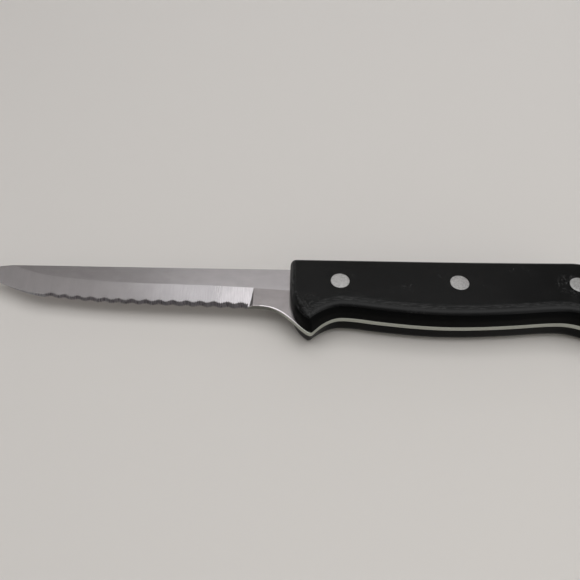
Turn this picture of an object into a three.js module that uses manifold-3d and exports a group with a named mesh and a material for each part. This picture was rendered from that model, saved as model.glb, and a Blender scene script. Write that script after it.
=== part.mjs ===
// A serrated kitchen knife: a steel blade whose full tang runs through the handle, two plastic scales
// lying on the tang's flats, and three cutler's rivets, each a solid half pressed into a hollow half.
//
// Millimetres. +X runs from the point to the butt, the cutting edge faces -Y and +Z is up, with the
// knife lying on its lower scale. The outlines are drawn with X = 0 at the front of the scales,
// Y = 0 on the line of the rivets and Z = 0 in the middle of the steel.
import * as THREE from 'three';
import { mergeVertices } from 'three/addons/utils/BufferGeometryUtils.js';
import Module from 'manifold-3d';

const wasm = await Module();
wasm.setup();

// Steel
const STEEL_T = 1.8; // thickness of the blank, the same at the spine and the tang
const HEEL_EDGE_T = 1.07; // thickness that the bevel leaves at the edge before it is serrated, at the heel,
const BELLY_EDGE_T = 0.51; // where the belly starts
const PLAIN_EDGE_T = 0.12; // and along the plain edge

// Blade: lengths are counted forward from the scales, heights from the rivet line
const BLADE_LENGTH = 107; // front of the scales to the point
const SPINE_Y = 9.4;
const POINT_Y = 8.5; // height at which the spine and the edge meet
const POINT_DROP_LENGTH = 18; // stretch over which the spine falls to the point
const HEEL_Y = -6.9; // edge at the plunge
const HEEL_SLOPE = 0.065; // rise of the edge towards the point, per millimetre
const BELLY_LENGTH = 27; // stretch behind the point over which the edge sweeps up
const BELLY_Y = -2.87; // edge where that sweep starts
const BELLY_SLOPE = 0.164;
const POINT_SLOPE = 0.53;
const KEEN_RUN = 14; // stretch from there over which the edge thins to the plain edge's thickness
const BEVEL_WIDTH = 7.92; // edge to grind line, on the upper side only
const PLUNGE_X = 11.8; // end of the grind line
const PLUNGE_RUN = 1.2; // length of the plunge's ramp at the edge

// Serrations, ground into the bevelled side and running out on the flat back
const SERRATION_GAP = 0.4; // plunge's ramp to the first tooth
const PLAIN_LENGTH = 27; // plain edge left behind the point
const SCALLOP_PITCH = 4.43;
const SCALLOP_DEPTH = 0.55;
const TEETH_PER_SCALLOP = 8;
const TOOTH_DEPTH = 0.6;
const FLUTE_ANGLE = 45; // degrees between the flutes and the blade's flat

// Ricasso, the unground steel between the plunge and the scales
const RICASSO_Y = -6.35; // its lower edge, level with the heel
const CHOIL_X = 9.6; // start of the sweep down to the guard
const CHOIL_REACH = 9.1; // how firmly the sweep leaves the ricasso
const NOSE_REACH = 4.1; // how firmly it rounds into the guard

// Handle: rivets and outline
const RIVET_INSET = 16; // front of the scales to the first rivet
const RIVET_PITCH = 38.1;
const BUTT_INSET = 15.3; // last rivet to the butt
const BACK_STRAIGHT = 40; // straight length of the handle's back
const BACK_RISE = 0.47; // rise of the back from there to the butt's curve
const BUTT_DEPTH = 15; // length of the butt's curve
const BUTT_WIDEST_Y = -9; // height of the butt's rearmost point
const HOOK_R = 2.5; // rounding of the butt's lower tip
const FRONT_SWEEP_Y = -2; // where the scales' front edge starts to sweep back to the guard
const GUARD_X = 7.1; // lower tip of the guard
const GUARD_Y = -16.75;
const GUARD_SLOPE = 1.217; // slope of the guard's rear flank at the tip
const GUARD_LAP = 1.2; // front sweep's end behind the guard's tip
const GUARD_HANG = 0.25; // and below it
const GROOVE_X = 16.7; // forefinger groove
const GROOVE_Y = -10.72;
const FLANK_RUN = 11.7; // groove to the middle of the slope that leads to the palm swell
const FLANK_Y = -12.05;
const FLANK_SLOPE = -0.122;
const SWELL_X = 50.3; // palm swell
const SWELL_Y = -13.66;
const WAIST_BACK = 22.2; // rear groove, counted back from the butt
const WAIST_Y = -11.34;
const RISE_RUN = 13.3; // middle of the slope between swell and rear groove, ahead of the groove
const RISE_Y = -12.42;
const RISE_SLOPE = 0.095;
const FLARE_BACK = 11.5; // flare towards the butt's lower tip
const FLARE_Y = -14.1;
const FLARE_SLOPE = -0.38;
const HOOK_BACK = 1.5; // lower tip of the butt
const HOOK_Y = -17.3;
const HOOK_SLOPE = -0.26;

// Scales
const SCALE_T = 5.7; // thickness of one scale
const WALL_H = 2.2; // straight wall next to the tang, below the rounding
const ROUND_POWER = 2.6; // the rounding's section is a superellipse of this power, 2 being an ellipse
const PALM_ROUND = 5.2; // how far the rounding reaches in along the lower edge
const FRONT_ROUND = 1.6; // along the front
const BUTT_ROUND = 2.4; // along the butt
const BACK_ROUND = 1.3; // radius along the back
const GUARD_LEAN = 1.3; // how far the front sweep leans in at the guard over the scale's thickness
const CORNER_R = 1.5; // upper front corner, seen from the side

// Cutler's rivets
const HEAD_D = 6;
const HEAD_T = 1.1;
const TUBE_D = 4.2; // shank of the hollow half
const PIN_D = 2.7; // shank of the solid half
const TUBE_SHORT = 1.5; // hollow shank's end to the opposite head
const BORE_FLOOR = 0.8; // steel under the bore, above the head
const PIN_SHORT = 1; // pin's end to the bore's floor
const HEAD_CLEARANCE = 0.05; // radial, head in its counterbore
const SHANK_CLEARANCE = 0.1; // radial, hollow shank in scales and tang
const PIN_CLEARANCE = 0.05; // radial, pin in the hollow shank

// Facets
const ROUND_SIDES = 32;
const LEVELS = 7; // rings over a scale's rounding
const LOWER_STEPS = 70;
const BUTT_STEPS = 14;
const FRONT_STEPS = 12;
const BACK_STEPS = 8;
const CORNER_STEPS = 5;
const BEVEL_STEPS = 72;
const TIP_STEPS = 14;
const CHOIL_STEPS = 16;

const RAD = Math.PI / 180;
const CUT = 4; // how far the cutting solids run past what they cut
const BEVEL_LAP = 0.8; // how far the bevel's cut runs past the edge and the grind line
const EDGE_STRIP = 0.1; // width of the strip along the edge that serrating takes away
const HALF_T = STEEL_T / 2;
const FACE_Z = HALF_T + SCALE_T;
const HANDLE_LENGTH = RIVET_INSET + 2 * RIVET_PITCH + BUTT_INSET;
const SERRATED_FROM = PLUNGE_X + PLUNGE_RUN + SERRATION_GAP;
const RIVETS = [
  ['front', RIVET_INSET],
  ['middle', RIVET_INSET + RIVET_PITCH],
  ['rear', RIVET_INSET + 2 * RIVET_PITCH],
];

// A smooth curve y(x) through knots [x, y, slope], straight beyond the first and the last one.
function smooth(knots, x) {
  const first = knots[0];
  const last = knots[knots.length - 1];
  if (x <= first[0]) return first[1] + first[2] * (x - first[0]);
  if (x >= last[0]) return last[1] + last[2] * (x - last[0]);
  const i = knots.findIndex((knot) => knot[0] > x);
  const [x0, y0, m0] = knots[i - 1];
  const [x1, y1, m1] = knots[i];
  const run = x1 - x0;
  const t = (x - x0) / run;
  const rise = t * t * (3 - 2 * t);
  return y0 + (y1 - y0) * rise + run * t * (1 - t) * (m0 * (1 - t) - m1 * t);
}

// Where f falls through zero between a and b.
function crossing(f, a, b) {
  for (let i = 0; i < 50; i++) {
    const middle = (a + b) / 2;
    if (f(middle) > 0) a = middle;
    else b = middle;
  }
  return (a + b) / 2;
}

function steps(count, from, to) {
  return Array.from({ length: count + 1 }, (_, i) => from + ((to - from) * i) / count);
}

// Edge of the blade before it is serrated, at x ahead of the scales (x is negative there).
function edgeY(x) {
  const knots = [
    [PLUNGE_X, HEEL_Y, HEEL_SLOPE],
    [BLADE_LENGTH - BELLY_LENGTH, BELLY_Y, BELLY_SLOPE],
    [BLADE_LENGTH, POINT_Y, POINT_SLOPE],
  ];
  return smooth(knots, -x);
}

// Thickness that the bevel leaves at the edge.
function edgeT(x) {
  const belly = BLADE_LENGTH - BELLY_LENGTH;
  const taper = (BELLY_EDGE_T - HEEL_EDGE_T) / (belly - PLUNGE_X);
  const knots = [
    [PLUNGE_X, HEEL_EDGE_T, taper],
    [belly, BELLY_EDGE_T, taper],
    [belly + KEEN_RUN, PLAIN_EDGE_T, 0],
  ];
  return smooth(knots, -x);
}

function spineY(x) {
  const past = Math.max(0, -x - (BLADE_LENGTH - POINT_DROP_LENGTH));
  return SPINE_Y - (SPINE_Y - POINT_Y) * (past / POINT_DROP_LENGTH) ** 2;
}

// Back of the handle, which carries the spine's line on to the butt.
function backY(x) {
  const past = Math.max(0, x - BACK_STRAIGHT);
  return SPINE_Y + BACK_RISE * (past / (HANDLE_LENGTH - BUTT_DEPTH - BACK_STRAIGHT)) ** 2;
}

// Lower edge of the handle: guard, forefinger groove, palm swell, rear groove and flared butt.
function lowerY(x) {
  const waist = HANDLE_LENGTH - WAIST_BACK;
  const knots = [
    [GUARD_X, GUARD_Y, GUARD_SLOPE],
    [GROOVE_X, GROOVE_Y, 0],
    [GROOVE_X + FLANK_RUN, FLANK_Y, FLANK_SLOPE],
    [SWELL_X, SWELL_Y, 0],
    [waist - RISE_RUN, RISE_Y, RISE_SLOPE],
    [waist, WAIST_Y, 0],
    [HANDLE_LENGTH - FLARE_BACK, FLARE_Y, FLARE_SLOPE],
    [HANDLE_LENGTH - HOOK_BACK, HOOK_Y, HOOK_SLOPE],
  ];
  return smooth(knots, x);
}

// Front edge of the scales: straight, then a quarter ellipse that sweeps back to the guard.
function frontAt(angle, inset) {
  const reach = GUARD_X + GUARD_LAP;
  const fall = FRONT_SWEEP_Y - GUARD_Y + GUARD_HANG - inset.guard;
  return [inset.front + reach * (1 - Math.cos(angle)), FRONT_SWEEP_Y - fall * Math.sin(angle)];
}

// Butt: an ellipse from the back, round the rearmost point and on to the lower tip.
function buttAt(angle, inset) {
  const x = HANDLE_LENGTH - BUTT_DEPTH;
  const above = angle < Math.PI / 2 ? inset.back : 0;
  const height = backY(x) - BUTT_WIDEST_Y - above;
  return [x + (BUTT_DEPTH - inset.butt) * Math.sin(angle), BUTT_WIDEST_Y + height * Math.cos(angle)];
}

function rounded(from, corner, to) {
  const curve = new THREE.QuadraticBezierCurve(
    new THREE.Vector2(...from),
    new THREE.Vector2(...corner),
    new THREE.Vector2(...to),
  );
  return curve.getPoints(CORNER_STEPS).map((p) => [p.x, p.y]);
}

// The handle's outline, drawn in by an inset of its own along each side, as four runs that follow
// one another anticlockwise: front, lower edge, butt and back.
function handleRuns(inset) {
  const low = (x) => lowerY(x) + inset.palm;
  const hangs = (p) => p[1] - low(p[0]);
  const tip = crossing((a) => hangs(frontAt(a, inset)), 0, Math.PI / 2);
  const hook = crossing((a) => hangs(buttAt(a, inset)), Math.PI / 2, Math.PI * 0.8);
  const tipX = frontAt(tip, inset)[0];
  const hookAt = buttAt(hook, inset);
  const lowerEnd = hookAt[0] - HOOK_R;
  const buttStart = hook - HOOK_R / (backY(HANDLE_LENGTH) - BUTT_WIDEST_Y);
  const top = (x) => backY(x) - inset.back;
  const cornerX = inset.front + CORNER_R;
  const cornerY = top(inset.front) - CORNER_R;

  const sweep = steps(FRONT_STEPS, 0, tip).map((a) => frontAt(a, inset));
  const lower = steps(LOWER_STEPS, tipX, lowerEnd).map((x) => [x, low(x)]);
  const tail = rounded(lower.at(-1), hookAt, buttAt(buttStart, inset));
  const butt = steps(BUTT_STEPS, buttStart, 0).map((a) => buttAt(a, inset));
  const back = steps(BACK_STEPS, HANDLE_LENGTH - BUTT_DEPTH, cornerX).map((x) => [x, top(x)]);
  const corner = rounded(back.at(-1), [inset.front, top(inset.front)], [inset.front, cornerY]);
  return {
    front: [...corner.slice(1), ...sweep.slice(0, -1)],
    lower,
    butt: [...tail.slice(1, -1), ...butt],
    back: back.slice(1),
  };
}

function handleRing(inset, z) {
  const runs = handleRuns(inset);
  return [...runs.front, ...runs.lower, ...runs.butt, ...runs.back].map(([x, y]) => [x, y, z]);
}

// A closed solid through rings of equally many points, stacked along the axis that the rings face.
// flat(point) gives the two coordinates in which a ring runs anticlockwise.
function loft(rings, flat) {
  const count = rings[0].length;
  const index = [];
  for (let k = 0; k + 1 < rings.length; k++) {
    for (let i = 0; i < count; i++) {
      const a = k * count + i;
      const b = k * count + ((i + 1) % count);
      index.push(a, b, b + count, a, b + count, a + count);
    }
  }
  const caps = (ring) => THREE.ShapeUtils.triangulateShape(
    ring.map((p) => new THREE.Vector2(...flat(p))),
    [],
  );
  for (const [a, b, c] of caps(rings[0])) index.push(a, c, b);
  const last = (rings.length - 1) * count;
  for (const [a, b, c] of caps(rings.at(-1))) index.push(last + a, last + b, last + c);
  const geometry = new THREE.BufferGeometry();
  geometry.setAttribute('position', new THREE.Float32BufferAttribute(rings.flat(2), 3));
  geometry.setIndex(index);
  return geometry;
}

function solidOf(geometry) {
  const bare = geometry.clone();
  bare.deleteAttribute('normal');
  bare.deleteAttribute('uv');
  const merged = mergeVertices(bare, 1e-4);
  const corners = merged.index.array;
  const triangles = [];
  for (let i = 0; i < corners.length; i += 3) {
    const [a, b, c] = corners.slice(i, i + 3);
    if (a !== b && b !== c && c !== a) triangles.push(a, b, c);
  }
  const mesh = new wasm.Mesh({
    numProp: 3,
    vertProperties: merged.attributes.position.array,
    triVerts: new Uint32Array(triangles),
  });
  return new wasm.Manifold(mesh);
}

function geometryOf(solid) {
  const mesh = solid.getMesh();
  const geometry = new THREE.BufferGeometry();
  geometry.setAttribute('position', new THREE.Float32BufferAttribute(mesh.vertProperties, 3));
  geometry.setIndex([...mesh.triVerts]);
  geometry.computeVertexNormals();
  return geometry;
}

function circle(x, radius) {
  return steps(ROUND_SIDES, 0, 2 * Math.PI)
    .slice(0, -1)
    .map((a) => new THREE.Vector2(x + radius * Math.cos(a), radius * Math.sin(a)));
}

// A body turned about Z from a profile of [radius, z] that starts and ends on the axis.
function turned(profile) {
  const points = profile.map(([r, z]) => new THREE.Vector2(r, z));
  return new THREE.LatheGeometry(points, ROUND_SIDES).rotateX(Math.PI / 2);
}

// The stamped blank: blade, ricasso and full tang in one plate, with the rivet holes. Along the edge
// it keeps a strip that the serrating cut takes away, up to half a tooth from the heel.
function blank() {
  const runs = handleRuns({ palm: 0, front: 0, butt: 0, back: 0, guard: 0 });
  const guard = runs.lower[0];
  const choil = new THREE.CubicBezierCurve(
    new THREE.Vector2(-CHOIL_X, RICASSO_Y),
    new THREE.Vector2(-CHOIL_X + CHOIL_REACH, RICASSO_Y),
    new THREE.Vector2(guard[0] - NOSE_REACH, guard[1]),
    new THREE.Vector2(...guard),
  );
  const end = -BLADE_LENGTH - EDGE_STRIP;
  const heel = -SERRATED_FROM - SCALLOP_PITCH / TEETH_PER_SCALLOP / 2;
  const strip = steps(BEVEL_STEPS, end, heel).map((x) => [x, edgeY(x) - EDGE_STRIP]);
  strip.push([heel, RICASSO_Y]);
  const sweep = choil.getPoints(CHOIL_STEPS).slice(0, -1).map((p) => [p.x, p.y]);
  const spine = steps(TIP_STEPS, POINT_DROP_LENGTH - BLADE_LENGTH, end).map((x) => [x, spineY(x)]);
  const outline = [...strip, ...sweep, ...runs.lower, ...runs.butt, ...runs.back, ...spine];
  const shape = new THREE.Shape(outline.map((p) => new THREE.Vector2(...p)));
  for (const [, x] of RIVETS) shape.holes.push(new THREE.Path(circle(x, TUBE_D / 2 + SHANK_CLEARANCE)));
  const plate = new THREE.ExtrudeGeometry(shape, { depth: STEEL_T, bevelEnabled: false });
  return plate.translate(0, 0, -HALF_T);
}

// What the grinding of the bevel takes away: everything above a ruled surface from the grind line to
// the edge, ending in the plunge's ramp.
function bevelCut() {
  const ring = (x, plunge) => {
    const edge = edgeY(x);
    const edgeZ = edgeT(x) - HALF_T;
    const slope = (HALF_T - edgeZ) / BEVEL_WIDTH;
    const low = edge - BEVEL_LAP;
    const high = edge + BEVEL_WIDTH + BEVEL_LAP;
    const corners = [
      [low, edgeZ - BEVEL_LAP * slope],
      [edge + BEVEL_WIDTH / 2, (edgeZ + HALF_T) / 2],
      [high, HALF_T + BEVEL_LAP * slope],
      [high, FACE_Z],
      [low, FACE_Z],
    ];
    const ramp = (z) => (PLUNGE_RUN * (HALF_T - z)) / (HALF_T - edgeZ);
    return corners.map(([y, z]) => [plunge ? -PLUNGE_X - ramp(z) : x, y, z]);
  };
  const near = -PLUNGE_X - 3 * PLUNGE_RUN;
  const rings = steps(BEVEL_STEPS, -BLADE_LENGTH - CUT, near).map((x) => ring(x, false));
  rings.push(ring(-PLUNGE_X, true));
  return loft(rings, ([, y, z]) => [y, z]);
}

// What the serrating wheel takes away: scallops with fine teeth in them, drawn as one profile across
// the flutes and extruded along them. Ahead of the last scallop the profile is a plain sharpened edge.
function serrationCut() {
  const angle = FLUTE_ANGLE * RAD;
  const across = (y) => -HALF_T * Math.cos(angle) - y * Math.sin(angle);
  const start = SERRATED_FROM;
  const scallops = Math.floor((BLADE_LENGTH - PLAIN_LENGTH - start) / SCALLOP_PITCH);
  const end = start + scallops * SCALLOP_PITCH;
  const halfTeeth = 2 * TEETH_PER_SCALLOP * scallops;
  const profile = steps(halfTeeth, start, end).map((u, i) => {
    const wave = (1 - Math.cos((2 * Math.PI * (u - start)) / SCALLOP_PITCH)) / 2;
    const depth = SCALLOP_DEPTH * wave + (i % 2) * TOOTH_DEPTH;
    return [-u, across(edgeY(-u) + depth)];
  });
  const plain = steps(TIP_STEPS, end, BLADE_LENGTH + CUT).slice(1);
  for (const u of plain) profile.push([-u, across(edgeY(-u))]);
  const clear = across(HEEL_Y) + CUT;
  profile.push([-BLADE_LENGTH - CUT, clear], [-start, clear]);

  const shape = new THREE.Shape(profile.map((p) => new THREE.Vector2(...p)));
  const length = 2 * (SPINE_Y - HEEL_Y);
  const cut = new THREE.ExtrudeGeometry(shape, { depth: length, bevelEnabled: false });
  const flute = new THREE.Vector3(0, -Math.cos(angle), -Math.sin(angle));
  const basis = new THREE.Matrix4().makeBasis(
    new THREE.Vector3(1, 0, 0),
    new THREE.Vector3(0, -Math.sin(angle), Math.cos(angle)),
    flute,
  );
  return cut.translate(0, 0, -length / 2).applyMatrix4(basis);
}

function blade() {
  return geometryOf(
    solidOf(blank())
      .subtract(solidOf(bevelCut()))
      .subtract(solidOf(serrationCut())),
  );
}

// Insets of a scale's outline at height h above the tang. The lower edge, front and butt share one
// rounding of different reach, the back has a smaller round, and the front sweep leans at the guard.
function scaleInset(h) {
  const up = Math.max(0, (h - WALL_H) / (SCALE_T - WALL_H));
  const drawn = 1 - Math.max(0, 1 - up ** ROUND_POWER) ** (1 / ROUND_POWER);
  const over = Math.max(0, h - (SCALE_T - BACK_ROUND));
  return {
    palm: PALM_ROUND * drawn,
    front: FRONT_ROUND * drawn,
    butt: BUTT_ROUND * drawn,
    back: BACK_ROUND - Math.sqrt(Math.max(0, BACK_ROUND ** 2 - over ** 2)),
    guard: (GUARD_LEAN * h) / SCALE_T,
  };
}

// One scale, lofted from the tang's face to its own flat face and counterbored for the rivets.
function scale(side) {
  const rise = steps(LEVELS, 0, Math.PI / 2).map((a) => WALL_H + (SCALE_T - WALL_H) * Math.sin(a));
  const heights = [0, ...rise];
  const rings = heights.map((h) => handleRing(scaleInset(h), side * (HALF_T + h)));
  const body = loft(side > 0 ? rings : rings.reverse(), ([x, y]) => [x, y]);
  const holeR = TUBE_D / 2 + SHANK_CLEARANCE;
  const headR = HEAD_D / 2 + HEAD_CLEARANCE;
  const hole = turned([
    [0, 0],
    [holeR, 0],
    [holeR, FACE_Z - HEAD_T],
    [headR, FACE_Z - HEAD_T],
    [headR, FACE_Z + CUT],
    [0, FACE_Z + CUT],
  ]);
  if (side < 0) hole.rotateX(Math.PI);
  let solid = solidOf(body);
  for (const [, x] of RIVETS) solid = solid.subtract(solidOf(hole.clone().translate(x, 0, 0)));
  return geometryOf(solid);
}

// Solid half of a rivet, head up, and the hollow half that it is pressed into, head down.
function rivetPin() {
  const end = -FACE_Z + HEAD_T + BORE_FLOOR + PIN_SHORT;
  return turned([
    [0, end],
    [PIN_D / 2, end],
    [PIN_D / 2, FACE_Z - HEAD_T],
    [HEAD_D / 2, FACE_Z - HEAD_T],
    [HEAD_D / 2, FACE_Z],
    [0, FACE_Z],
  ]);
}

function rivetTube() {
  const boreR = PIN_D / 2 + PIN_CLEARANCE;
  const mouth = FACE_Z - HEAD_T - TUBE_SHORT;
  const floor = -FACE_Z + HEAD_T + BORE_FLOOR;
  return turned([
    [0, -FACE_Z],
    [HEAD_D / 2, -FACE_Z],
    [HEAD_D / 2, -FACE_Z + HEAD_T],
    [TUBE_D / 2, -FACE_Z + HEAD_T],
    [TUBE_D / 2, mouth],
    [boreR, mouth],
    [boreR, floor],
    [0, floor],
  ]);
}

function part(name, geometry, colour, roughness, metalness) {
  const material = new THREE.MeshStandardMaterial({ color: colour, roughness, metalness });
  const mesh = new THREE.Mesh(geometry, material);
  mesh.name = name;
  return mesh;
}

const knife = new THREE.Group();
knife.add(part('blade', blade(), 0xb4b2b0, 0.34, 1));
knife.add(part('scale_upper', scale(1), 0x1c1c1e, 0.42, 0));
knife.add(part('scale_lower', scale(-1), 0x1c1c1e, 0.42, 0));
for (const [place, x] of RIVETS) {
  const pin = part(`rivet_${place}_pin`, rivetPin(), 0xb9b7b5, 0.4, 1);
  const tube = part(`rivet_${place}_tube`, rivetTube(), 0xb9b7b5, 0.4, 1);
  pin.position.x = x;
  tube.position.x = x;
  knife.add(pin, tube);
}

// The origin lies under the middle of the knife, on the surface that it rests on.
const box = new THREE.Box3().setFromObject(knife);
const middle = box.getCenter(new THREE.Vector3());
knife.position.set(-middle.x, -middle.y, -box.min.z);

export default knife;
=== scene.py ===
"""Looks of a serrated kitchen knife: finely meshed steel, moulded scales and turned rivets.

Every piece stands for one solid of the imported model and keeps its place. Shapes are worked out in
millimetres in a layout frame, with X = 0 at the front of the scales, Y = 0 on the rivet line and
Z = 0 in the middle of the steel, and then set into the model's own frame, which is in metres.
"""
import math

import bmesh
import bpy
import numpy as np
from mathutils import Matrix, Vector


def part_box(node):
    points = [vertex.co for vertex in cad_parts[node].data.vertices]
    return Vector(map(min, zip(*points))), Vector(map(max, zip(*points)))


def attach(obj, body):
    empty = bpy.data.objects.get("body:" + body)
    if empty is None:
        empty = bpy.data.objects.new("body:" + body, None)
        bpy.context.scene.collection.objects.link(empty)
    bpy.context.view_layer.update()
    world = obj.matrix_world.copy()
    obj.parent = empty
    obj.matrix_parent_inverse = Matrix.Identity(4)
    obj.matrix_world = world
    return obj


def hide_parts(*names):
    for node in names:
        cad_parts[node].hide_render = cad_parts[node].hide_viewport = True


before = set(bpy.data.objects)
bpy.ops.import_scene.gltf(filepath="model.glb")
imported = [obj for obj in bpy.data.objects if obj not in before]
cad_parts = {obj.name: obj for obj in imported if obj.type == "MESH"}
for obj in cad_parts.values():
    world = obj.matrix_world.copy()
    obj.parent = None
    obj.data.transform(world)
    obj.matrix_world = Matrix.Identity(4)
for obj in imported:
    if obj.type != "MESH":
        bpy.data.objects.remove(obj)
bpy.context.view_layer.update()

MM = 0.001

# Steel
STEEL_T = 1.8
HEEL_EDGE_T = 1.07  # thickness that the bevel leaves at the edge: at the heel,
BELLY_EDGE_T = 0.51  # where the belly starts
PLAIN_EDGE_T = 0.12  # and along the plain edge
EDGE_EASE = 0.18  # rounding that tumbling leaves along the steel's corners

# Blade: lengths are counted forward from the scales, heights from the rivet line
BLADE_LENGTH = 107.0  # front of the scales to the point
POINT_GAP = 0.04  # the first section stands this far behind the point
SPINE_Y = 9.4
POINT_Y = 8.5  # height at which the spine and the edge meet
POINT_DROP_LENGTH = 18.0  # stretch over which the spine falls to the point
HEEL_Y = -6.9  # edge at the plunge
HEEL_SLOPE = 0.065  # rise of the edge towards the point
BELLY_LENGTH = 27.0  # stretch behind the point over which the edge sweeps up
BELLY_Y = -2.87  # edge where that sweep starts
BELLY_SLOPE = 0.164
POINT_SLOPE = 0.53
KEEN_RUN = 14.0  # stretch from there over which the edge thins
BEVEL_WIDTH = 7.92  # edge to grind line, on the upper side only
GRIND_SOFTNESS = 0.1  # half the width of the turn at the grind line
HOLD = 0.2  # rows this close to a turn keep the flats beside it flat
SPINE_EASE_SHARE = 0.12  # of a section's height, most that the spine's rounding takes
HOLD_SHARE = 0.03  # and most that a row beside a turn takes
PLUNGE_X = 11.8  # end of the grind line
PLUNGE_RUN = 1.2  # length of the plunge's ramp at the edge
PLUNGE_MIN_SHARE = 0.12  # least share of the plunge's run that a row gets

# Serrations
SERRATION_GAP = 0.4  # plunge's ramp to the first tooth
PLAIN_LENGTH = 27.0  # plain edge left behind the point
SCALLOP_PITCH = 4.43
SCALLOP_DEPTH = 0.55
TEETH_PER_SCALLOP = 8
TOOTH_DEPTH = 0.6
FLUTE_ANGLE = 45.0  # degrees between the flutes and the blade's flat
FLUTE_SHARE = 0.9  # of the bevel, most that a flute takes
HEEL_STEP = 0.01  # run of the wall that ends the serrations at the heel

# Ricasso and choil
RICASSO_Y = -6.35  # the ricasso's lower edge
CHOIL_X = 9.6  # start of the sweep down to the guard
CHOIL_REACH = 9.1  # how firmly the sweep leaves the ricasso
NOSE_REACH = 4.1  # how firmly it rounds into the guard
CHOIL_EASE = 0.3  # rounding of the choil's corners, which are broken by hand
CHOIL_EASE_RUN = 0.25  # share of the choil over which it grows, and fades again

# Handle outline
RIVET_INSET = 16.0  # front of the scales to the first rivet
RIVET_PITCH = 38.1
BUTT_INSET = 15.3  # last rivet to the butt
BUTT_TRIM = 0.02  # the solids' coarser facets end this much short of the curve
BACK_STRAIGHT = 40.0  # straight length of the handle's back
BACK_RISE = 0.47  # rise of the back from there to the butt's curve
BUTT_DEPTH = 15.0  # length of the butt's curve
BUTT_WIDEST_Y = -9.0  # height of the butt's rearmost point
HOOK_R = 2.5  # rounding of the butt's lower tip
FRONT_SWEEP_Y = -2.0  # start of the scales' sweep back to the guard
GUARD_X = 7.1  # lower tip of the guard
GUARD_Y = -16.75
GUARD_SLOPE = 1.217  # slope of the guard's rear flank at the tip
GUARD_LAP = 1.2  # front sweep's end behind the guard's tip
GUARD_HANG = 0.25  # and below it
GROOVE_X = 16.7  # forefinger groove
GROOVE_Y = -10.72
FLANK_RUN = 11.7  # groove to the middle of the slope to the palm swell
FLANK_Y = -12.05
FLANK_SLOPE = -0.122
SWELL_X = 50.3  # palm swell
SWELL_Y = -13.66
WAIST_BACK = 22.2  # rear groove, counted back from the butt
WAIST_Y = -11.34
RISE_RUN = 13.3  # middle of the slope from the swell, ahead of that groove
RISE_Y = -12.42
RISE_SLOPE = 0.095
FLARE_BACK = 11.5  # flare towards the butt's lower tip
FLARE_Y = -14.1
FLARE_SLOPE = -0.38
HOOK_BACK = 1.5  # lower tip of the butt
HOOK_Y = -17.3
HOOK_SLOPE = -0.26
HOOK_LIMIT = math.pi * 0.8  # the butt's lower tip lies before this angle
TIP_EASE = 0.5  # rounding of the guard's crease

# Scales
SCALE_T = 5.7
WALL_H = 2.2  # straight wall next to the tang, below the rounding
ROUND_POWER = 2.6  # of the superellipse that the rounding follows
PALM_ROUND = 5.2  # how far the rounding reaches in along the lower edge
FRONT_ROUND = 2.1  # along the front
SWEEP_ROUND = 1.8  # what the sweep to the guard adds to it
BUTT_ROUND = 2.4  # along the butt
BACK_ROUND = 1.3  # radius along the back
GUARD_LEAN = 1.3  # how far the front sweep leans in at the guard over the scale's thickness
FLANK_LEAN = 2.2  # and how far the guard's rear flank leans in
CORNER_R = 1.5  # upper front corner, seen from the side
SEAM_EASE = 0.07  # chamfer of a scale where it meets the tang
COUNTERBORE_EASE = 0.08  # and at the mouth of a counterbore

# Cutler's rivets
HEAD_D = 6.0
HEAD_T = 1.1
HEAD_EASE = 0.12
TUBE_D = 4.2  # shank of the hollow half
PIN_D = 2.7  # shank of the solid half
TUBE_SHORT = 1.5  # hollow shank's end to the opposite head
BORE_FLOOR = 0.8  # metal between the bore and the head
PIN_SHORT = 1.0  # pin's end to the bore's floor
HEAD_CLEARANCE = 0.05  # radial, head in its counterbore
SHANK_CLEARANCE = 0.1  # radial, hollow shank in scales and tang
PIN_CLEARANCE = 0.05  # radial, pin in the hollow shank

# Mesh density
TOOTH_SAMPLES = 6
TIP_STATIONS = 64
PLUNGE_STEPS = 3
LEVELS = 26  # rings over a scale's rounding
SHADED_WALL_LEVELS = 16  # rings next to the tang that get the darker, less shiny wall plastic: painted shade
FRONT_STEPS = 40
LOWER_STEPS = 260
BUTT_STEPS = 44
BACK_STEPS = 40
CORNER_STEPS = 8
CHOIL_STEPS = 40
SPINE_STEPS = 5
HEAD_STEPS = 4
ROUND_SIDES = 72
WELD = 1e-4  # millimetres
SHARP_ANGLE = math.radians(20)

# Camera, measured from the middle of the front rivet's head, in millimetres and degrees
CAMERA_AT = (-14.973, -130.141, 149.073)
CAMERA_TILT = 49.841
CAMERA_TURN = 0.441
CAMERA_ROLL = 0.676
CAMERA_LENS = 38.483
CLIP_START = 0.01  # metres

HALF_T = STEEL_T / 2
FACE_Z = HALF_T + SCALE_T
HANDLE_LENGTH = RIVET_INSET + 2 * RIVET_PITCH + BUTT_INSET
RIVET_X = {"front": RIVET_INSET, "middle": RIVET_INSET + RIVET_PITCH, "rear": RIVET_INSET + 2 * RIVET_PITCH}
SERRATED_FROM = PLUNGE_X + PLUNGE_RUN + SERRATION_GAP
SCALLOPS = math.floor((BLADE_LENGTH - PLAIN_LENGTH - SERRATED_FROM) / SCALLOP_PITCH)
SERRATED_TO = SERRATED_FROM + SCALLOPS * SCALLOP_PITCH
HALF_TOOTH = SCALLOP_PITCH / TEETH_PER_SCALLOP / 2

PIN_LOW, PIN_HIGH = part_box("rivet_front_pin")
HEAD_MIDDLE = Vector(((PIN_LOW.x + PIN_HIGH.x) / 2, (PIN_LOW.y + PIN_HIGH.y) / 2, PIN_HIGH.z))
LAYOUT_ORIGIN = HEAD_MIDDLE - Vector((RIVET_INSET, 0, FACE_Z)) * MM
TO_FRAME = Matrix.Translation(LAYOUT_ORIGIN) @ Matrix.Scale(MM, 4)


# Outlines

def smoothstep(t):
    return t * t * (3 - 2 * t)


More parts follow.
